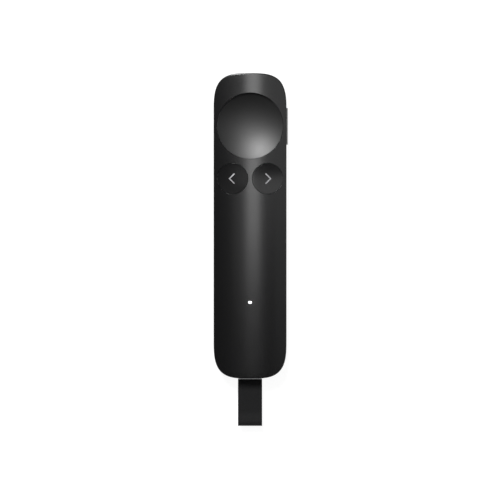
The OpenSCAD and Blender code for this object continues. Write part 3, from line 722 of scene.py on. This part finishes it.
def small_key_top(side, x, y):
    """Height of a small key's top: its rim follows the crown, and it sinks to its middle."""
    across = (x - side * KEY_X) ** 2 + (y - KEY_Y) ** 2
    return crown_z(x) - KEY_FLUSH - KEY_DEPTH * (1 - across / KEY_R**2)


def small_key(name, side):
    """Small round key: its top follows the front, with a shallow dish and a rounded rim."""
    bm = bmesh.new()
    top_r, inner_r = KEY_R - RIM_R, KEY_R - KEY_WALL
    base_mark, roof_mark = -1, -0.5
    profile = [(r, 0) for r in top_radii(top_r, KEY_RINGS)] + rim_profile(top_r, 0)
    profile += [(KEY_R, base_mark), (inner_r, base_mark), (inner_r, roof_mark), (0, roof_mark)]
    spin_profile(bm, profile, Vector((side * KEY_X, KEY_Y, 0)))
    roof_z = crown_z(KEY_X + KEY_R) - KEY_ROOF
    for vert in bm.verts:
        if vert.co.z > -2 * RIM_R:
            vert.co.z += small_key_top(side, vert.co.x, vert.co.y)
        else:
            at_base = vert.co.z < (base_mark + roof_mark) / 2
            vert.co.z = KEY_BASE_Z if at_base else roof_z
    return weigh_normals(finish_mesh(bm, name))


def chevron_shape(tip_x, half_h):
    """Corners of a chevron that points along X and is the same above and below it."""
    s, c = math.sin(MARK_SLOPE), math.cos(MARK_SLOPE)
    tip = Vector((tip_x, 0))
    outer = tip + Vector((-c, s)) * half_h / s
    inner = outer - MARK_STROKE * Vector((s, c))
    back = tip - Vector((MARK_STROKE / s, 0))
    return [tip, outer, inner, back, Vector((inner.x, -inner.y)), Vector((outer.x, -outer.y))]


def chevron(name, side):
    """Pale inlay that points away from the middle of the body."""
    low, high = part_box(name)
    middle_y = (low.y + high.y) / 2
    shape = chevron_shape(high.x if side > 0 else -low.x, (high.y - low.y) / 2)
    bm = bmesh.new()
    face = bm.faces.new([bm.verts.new((side * p.x, middle_y + p.y, 0)) for p in shape])
    top = new_verts(bmesh.ops.extrude_face_region(bm, geom=[face]))
    bmesh.ops.translate(bm, verts=top, vec=(0, 0, MARK_T))
    rim = [e for e in bm.edges if e.verts[0] in top and e.verts[1] in top]
    round_edges(bm, rim, MARK_ROUNDING, FINE_STEPS)
    for vert in bm.verts:
        vert.co.z += small_key_top(side, vert.co.x, vert.co.y) + MARK_PROUD - MARK_T
    return finish_mesh(bm, name + "_inlay")


def side_key():
    """Low bar key with round corners and a softened outer face, on its hidden flange."""
    bm = bmesh.new()
    low = (side_low.x + SIDE_INSET, side_low.y + SIDE_FLANGE, side_low.z)
    bar = add_block(bm, low, (side_high.x, side_high.y - SIDE_FLANGE, side_high.z))
    round_edges(bm, edges_along(bar, 0), SIDE_CORNER, CORNER_STEPS)
    round_edges(bm, face_rim(bm, 0), SIDE_ROUNDING, SOFT_STEPS)
    flange_low = (low[0], side_low.y, side_low.z)
    flange = add_block(bm, flange_low, (low[0] + SIDE_FLANGE_T, side_high.y, side_high.z))
    round_edges(bm, edges_along(flange, 0), SIDE_CORNER, CORNER_STEPS)
    return weigh_normals(finish_mesh(bm, "side_key"))


def light_window():
    """Pill-shaped window with a slightly rounded top."""
    bm = bmesh.new()
    low = (light_low.x + LIGHT_FLANGE, light_low.y + LIGHT_FLANGE, light_low.z)
    high = (light_high.x - LIGHT_FLANGE, light_high.y - LIGHT_FLANGE, light_high.z)
    pill = add_block(bm, low, high)
    round_edges(bm, edges_along(pill, 2), LIGHT_CORNER, PILL_STEPS)
    round_edges(bm, face_rim(bm, 2), LIGHT_ROUNDING, SOFT_STEPS)
    return finish_mesh(bm, "light_window")


# ---- Receiver and ribbon ----

def cap_block():
    """Cap of the receiver; the rim of its outer face is well rounded."""
    bm = merged_node("receiver_cap")
    bmesh.ops.recalc_face_normals(bm, faces=bm.faces)
    rim = []
    for edge in bm.edges:
        middle = (edge.verts[0].co + edge.verts[1].co) / 2
        outwards = Vector((middle.x, 0, middle.z - MID_Z))
        at_face = all(abs(v.co.y - cap_low.y) < CLOSE for v in edge.verts)
        limit = outwards.length / 2
        if at_face and any(f.normal.dot(outwards) > limit for f in edge.link_faces):
            rim.append(edge)
    round_edges(bm, rim, CAP_ROUNDING, PILL_STEPS)
    return weigh_normals(finish_mesh(bm, "cap_block", NODE_SHARP_ANGLE))


def ribbon_path():
    """Side view of the ribbon: out of the cap, round the fold at its end, and back."""
    inside_y = ROOT_Y - CLOTH_END_GAP
    fold_y = strap_low.y + FOLD_R + CLOTH_T / 2
    upper = [(inside_y + (SPLIT_Y - inside_y) * k / HELD_STEPS, LAYER_Z)
             for k in range(HELD_STEPS + 1)]
    for k in range(1, OPENING_STEPS):
        u = k / OPENING_STEPS
        ease = u * u * (3 - 2 * u)
        upper.append((SPLIT_Y + (fold_y - SPLIT_Y) * u, LAYER_Z + (FOLD_R - LAYER_Z) * ease))
    turns = [math.pi * k / FOLD_STEPS for k in range(FOLD_STEPS + 1)]
    fold = [(fold_y - FOLD_R * math.sin(turn), FOLD_R * math.cos(turn)) for turn in turns]
    return upper + fold + [(y, -z) for y, z in reversed(upper)]


def ribbon():
    """One woven strip, doubled over at its free end, with a UV map in metres."""
    path = ribbon_path()
    bm = bmesh.new()
    y, z = path[0]
    first = [bm.verts.new(((2 * k / CLOTH_COLUMNS - 1) * HALF_CLOTH_W, y, MID_Z + z))
             for k in range(CLOTH_COLUMNS + 1)]
    row = [bm.edges.new(pair) for pair in zip(first, first[1:])]
    uv = bm.loops.layers.uv.new("cloth")
    run = {v: 0.0 for v in first}
    travelled = 0.0
    for (y0, z0), (y1, z1) in zip(path, path[1:]):
        travelled += math.hypot(y1 - y0, z1 - z0)
        made = bmesh.ops.extrude_edge_only(bm, edges=row)
        fresh = new_verts(made)
        row = [e for e in made["geom"] if isinstance(e, bmesh.types.BMEdge)
               and e.verts[0] in fresh and e.verts[1] in fresh]
        bmesh.ops.translate(bm, verts=fresh, vec=(0, y1 - y0, z1 - z0))
        run.update({v: travelled for v in fresh})
    for face in bm.faces:
        for loop in face.loops:
            loop[uv].uv = (loop.vert.co.x, run[loop.vert])
    piece = finish_mesh(bm, "ribbon_cloth", CLOTH_SHARP_ANGLE)
    thick = piece.modifiers.new("cloth_thickness", "SOLIDIFY")
    thick.thickness = CLOTH_T
    thick.offset = 0
    return piece, travelled


# ---- Floor, light and camera ----

def softbox(name, place, width, length, radiance):
    """Rectangular lamp that faces the middle of the body; width runs across the body."""
    lamp = bpy.data.lights.new(name, "AREA")
    lamp.shape = "RECTANGLE"
    lamp.size = width
    lamp.size_y = length
    lamp.energy = math.pi * width * length * radiance
    holder = bpy.data.objects.new(name, lamp)
    towards = (Vector((0, 0, BODY_H)) - Vector(place)).normalized()
    across = Vector((0, 1, 0)).cross(towards).normalized()
    upwards = (-towards).cross(across)
    turn = Matrix((across, upwards, -towards)).transposed()
    holder.matrix_world = Matrix.Translation(place) @ turn.to_4x4()
    bpy.context.scene.collection.objects.link(holder)


def studio_floor():
    """Pale floor just below the body: it shows white, and still takes the shadow."""
    bm = bmesh.new()
    below_body = Matrix.Translation((0, 0, -FLOOR_DROP))
    bmesh.ops.create_grid(bm, x_segments=1, y_segments=1, size=FLOOR_SIZE, matrix=below_body)
    floor = finish_mesh(bm, "floor")
    material, tree, shader = new_material("pale_floor")
    shader.inputs["Base Color"].default_value = (0.2, 0.2, 0.2, 1)
    shader.inputs["Roughness"].default_value = 0.9
    shader.inputs["Specular IOR Level"].default_value = 0
    shader.inputs["Emission Color"].default_value = (1, 1, 1, 1)
    rays = tree.nodes.new("ShaderNodeLightPath")
    seen = math_node(tree, "MAXIMUM", (rays, "Is Camera Ray"), (rays, "Is Glossy Ray"))
    also = math_node(tree, "MAXIMUM", (seen, "Value"), (rays, "Is Transmission Ray"))
    strength = math_node(tree, "MULTIPLY", (also, "Value"))
    strength.inputs[1].default_value = 0.92
    link(tree, strength, "Value", shader, "Emission Strength")
    floor.data.materials.append(material)


def studio_world():
    """White walls low down and a dark ceiling, as in a tent with an open top."""
    world = bpy.data.worlds.new("studio")
    bpy.context.scene.world = world
    world.use_nodes = True
    tree = world.node_tree
    background = tree.nodes["Background"]
    background.inputs["Color"].default_value = (1, 1, 1, 1)
    place = tree.nodes.new("ShaderNodeTexCoord")
    parts = tree.nodes.new("ShaderNodeSeparateXYZ")
    link(tree, place, "Generated", parts, "Vector")
    walls = add_node(tree, "ShaderNodeMapRange",
                     From_Min=0.25, From_Max=0.6, To_Min=1.0, To_Max=0.02)
    link(tree, parts, "Z", walls, "Value")
    rays = tree.nodes.new("ShaderNodeLightPath")
    seen = math_node(tree, "MAXIMUM", (rays, "Is Camera Ray"), (rays, "Is Transmission Ray"))
    level = tree.nodes.new("ShaderNodeMix")
    link(tree, seen, "Value", level, MIX_FACTOR)
    link(tree, walls, "Result", level, MIX_A)
    level.inputs[MIX_B].default_value = 1
    link(tree, level, MIX_VALUE_OUT, background, "Strength")


def camera():
    """Long-lens camera straight above the body."""
    data = bpy.data.cameras.new("camera")
    data.lens = LENS / MM
    data.sensor_width = SENSOR / MM
    data.clip_start = CLIP_START
    holder = bpy.data.objects.new("camera", data)
    holder.location = (VIEW_X, VIEW_Y, BODY_H + VIEW_SIZE * LENS / SENSOR)
    bpy.context.scene.collection.objects.link(holder)
    bpy.context.scene.camera = holder


# ---- Build ----

def place_piece(piece, body, slot, material, *nodes):
    """Gives a new piece its material, hangs it on the empty of the body it rides on, and hides the
    imported nodes it stands for.
    """
    piece.data.materials.clear()
    piece.data.materials.append(material)
    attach(piece, body)
    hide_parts(*nodes)


bpy.context.scene.view_settings.view_transform = "Standard"
camera()
studio_floor()
studio_world()
softbox("overhead", (0.041, 0.154, 0.92), 0.17, 0.325, 5.1)
softbox("key_light", (-0.195, 0.553, 1.0), 0.28, 0.36, 40)
softbox("far_light", (-0.22, 0.66, 1.0), 0.25, 0.3, 17)
softbox("right_fill", (0.5, 0.132, 0.994), 0.646, 0.222, 0.93)
softbox("lower_fill", (0.55, -0.045, 0.99), 0.4, 0.13, 0.33)
softbox("left_fill", (-0.117, 0.025, 0.95), 0.202, 0.128, 0.45)

shell_finish = moulded("satin_black", (0.0034, 0.0034, 0.0036), 0.2, grain_depth=0.0012 * MM)
dish_finish = moulded("dish_black", (0.0008, 0.0008, 0.0009), 0.42, grain_depth=0.002 * MM)
key_finish = moulded("key_black", (0.0056, 0.0056, 0.0058), 0.145, grain_depth=0.001 * MM)
side_key_finish = moulded("side_key_black", (0.0045, 0.0045, 0.0047), 0.5)
mark_finish = moulded("pale_inlay", (0.26, 0.26, 0.27), 0.4, variation=0.05)
chassis_finish = moulded("chassis_black", (0.02, 0.02, 0.022), 0.5)
chip_finish = moulded("chip_black", (0.012, 0.012, 0.014), 0.55)
ceramic_finish = moulded("cream_ceramic", (0.62, 0.58, 0.5), 0.45, variation=0.05)
tape_finish = moulded("pale_tape", (0.62, 0.55, 0.32), 0.5, grain=0.4 * MM)
foam_finish = moulded(
    "dark_foam", (0.02, 0.02, 0.02), 0.9, grain=0.25 * MM, grain_depth=0.05 * MM)
red_finish = moulded("red_wire", (0.35, 0.02, 0.02), 0.4)
blue_finish = moulded("blue_wire", (0.02, 0.06, 0.3), 0.4)
steel_finish = metal("plain_steel", (0.6, 0.6, 0.61), 0.3, brushed=(1, 12, 1))
foil_finish = metal("cell_foil", (0.7, 0.71, 0.73), 0.35)
cap_finish = metal("satin_cap", (0.5, 0.5, 0.51), 0.15)
board_finish = printed_board()
lens_finish = lit_lens()
ribbon_finish = woven_ribbon()

front = cut_away(front_shell(), [side_slot_cutter(), light_cutter(), bay_cutter("front_bay")])
place_piece(front, "housing", "shell", shell_finish, "front_shell")
rear = weigh_normals(cut_away(rear_shell(), [bay_cutter("rear_bay")]))
place_piece(rear, "housing", "shell", shell_finish, "rear_shell")
place_piece(dished_key(), "action_key", "key", dish_finish, "action_button")
place_piece(small_key("back_key", -1), "back_key", "key", key_finish, "back_button")
place_piece(small_key("next_key", 1), "next_key", "key", key_finish, "next_button")
place_piece(chevron("back_chevron", -1), "back_key", "mark", mark_finish, "back_chevron")
place_piece(chevron("next_chevron", 1), "next_key", "mark", mark_finish, "next_chevron")
place_piece(side_key(), "side_key", "key", side_key_finish, "side_button")
place_piece(light_window(), "housing", "lens", lens_finish, "light_pipe")
place_piece(cap_block(), "receiver", "cap_metal", cap_finish, "receiver_cap")
case = refined("receiver_housing", "receiver_case", CASE_ROUNDING)
place_piece(case, "receiver", "receiver_plastic", shell_finish, "receiver_housing")
plug = refined("plug_shell", "plug_sleeve", PLUG_ROUNDING)
place_piece(plug, "receiver", "steel", steel_finish, "plug_shell")

cloth, cloth_l = ribbon()
cloth.data.materials.append(ribbon_finish)
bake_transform(cloth)
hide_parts("pull_strap", "strap_root")

NODES_BY_FINISH = [
    (board_finish, ["main_board", "receiver_board"]),
    (chassis_finish, ["mid_frame"]),
    (chip_finish, ["radio_chip", "motion_sensor", "charge_port_tongue", "receiver_chip",
                   "plug_core"]),
    (ceramic_finish, ["led_chip", "chip_antenna", "battery_socket", "action_plunger",
                      "back_plunger", "next_plunger", "side_plunger"]),
    (steel_finish, ["action_switch", "back_switch", "next_switch", "side_switch",
                    "radio_shield", "motor", "charge_port_shell", "strap_pins",
                    "board_screws", "frame_screws"]),
    (foil_finish, ["battery_cell"]),
    (tape_finish, ["battery_tape"]),
    (foam_finish, ["motor_pad"]),
    (red_finish, ["battery_leads"]),
    (blue_finish, ["motor_leads"]),
]
for finish, nodes in NODES_BY_FINISH:
    for node in nodes:
        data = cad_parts[node].data
        data.materials.clear()
        data.materials.append(finish)
